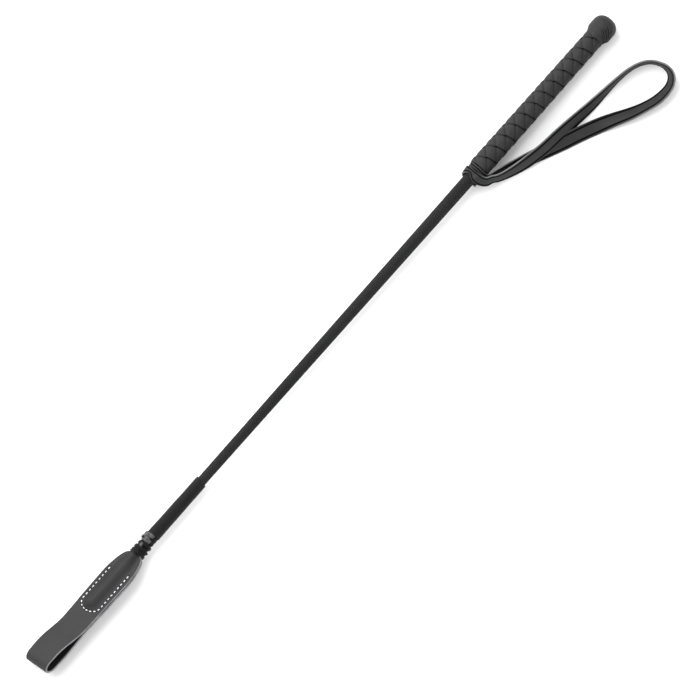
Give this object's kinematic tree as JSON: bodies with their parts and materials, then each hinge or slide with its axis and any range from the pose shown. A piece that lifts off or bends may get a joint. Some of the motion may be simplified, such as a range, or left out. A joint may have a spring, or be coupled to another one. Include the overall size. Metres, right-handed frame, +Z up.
{
  "type": "riding crop",
  "caption": "Riding crop: braided tapered shaft, plaited leather grip with rounded knob, wrist loop and folded leather keeper.",
  "frame": {"origin": "on the surface the crop lies on, under the middle of the whole crop", "axes": "+X along the shaft towards the knob, +Z up, the wrist loop on the -Y side"},
  "size_m": [0.7012, 0.0908, 0.0238],
  "materials": {
    "rod": "ground fibreglass, satin",
    "cap": "moulded, dull",
    "underlay": "wound cotton thread",
    "braid": "tight waxed braid, low sheen",
    "core": "turned, unfinished",
    "padding": "dense felt",
    "inner_thread": "tight wound thread",
    "grip_leather": "matte pebbled charcoal",
    "strap_leather": "smooth matte with lighter cut edges",
    "sleeve_thread": "wound cord in close ridges",
    "black_thread": "waxed thread, soft sheen",
    "lace": "grey lace, slightly shiny",
    "keeper_leather": "semi-matte fine grain, lighter cut edges",
    "white_thread": "waxed sewing thread"
  },
  "bodies": {
    "crop": {"core_rod": "rod", "rod_tip_cap": "cap", "shaft_underlay": "underlay", "braided_sheath": "braid", "handle_core": "core", "grip_padding": "padding", "grip_binding": "inner_thread", "grip_plait": "grip_leather", "knob_core": "core", "knob_cover": "grip_leather", "knob_binding": "inner_thread", "tip_sleeve": "sleeve_thread", "lace_knot": "lace", "upper_whipping": "black_thread", "lower_whipping": "black_thread", "keeper_upper_leaf": "keeper_leather", "keeper_lower_leaf": "keeper_leather", "keeper_stitching": "white_thread"},
    "collar": {"strap_collar": "strap_leather", "collar_stitching": "black_thread"},
    "loop": {"wrist_strap": "strap_leather"},
    "flap": {"keeper_flap": "keeper_leather"}
  },
  "joints": [
    {"name": "loop_swivel", "type": "hinge", "parent": "crop", "child": "collar", "pos_m": [0.182, 0.031, 0.0106], "axis": [-1, 0, 0], "continuous": true},
    {"name": "loop_swing", "type": "hinge", "parent": "collar", "child": "loop", "pos_m": [0.183, 0.01994, 0.0106], "axis": [0, 0, 1], "range_deg": [-110, 5]},
    {"name": "flap_bend", "type": "hinge", "parent": "crop", "child": "flap", "pos_m": [-0.293, 0.031, 0.0106], "axis": [0, 0.8192, -0.5736], "range_deg": [-45, 45], "stiffness_Nm_per_rad": 0.05}
  ]
}
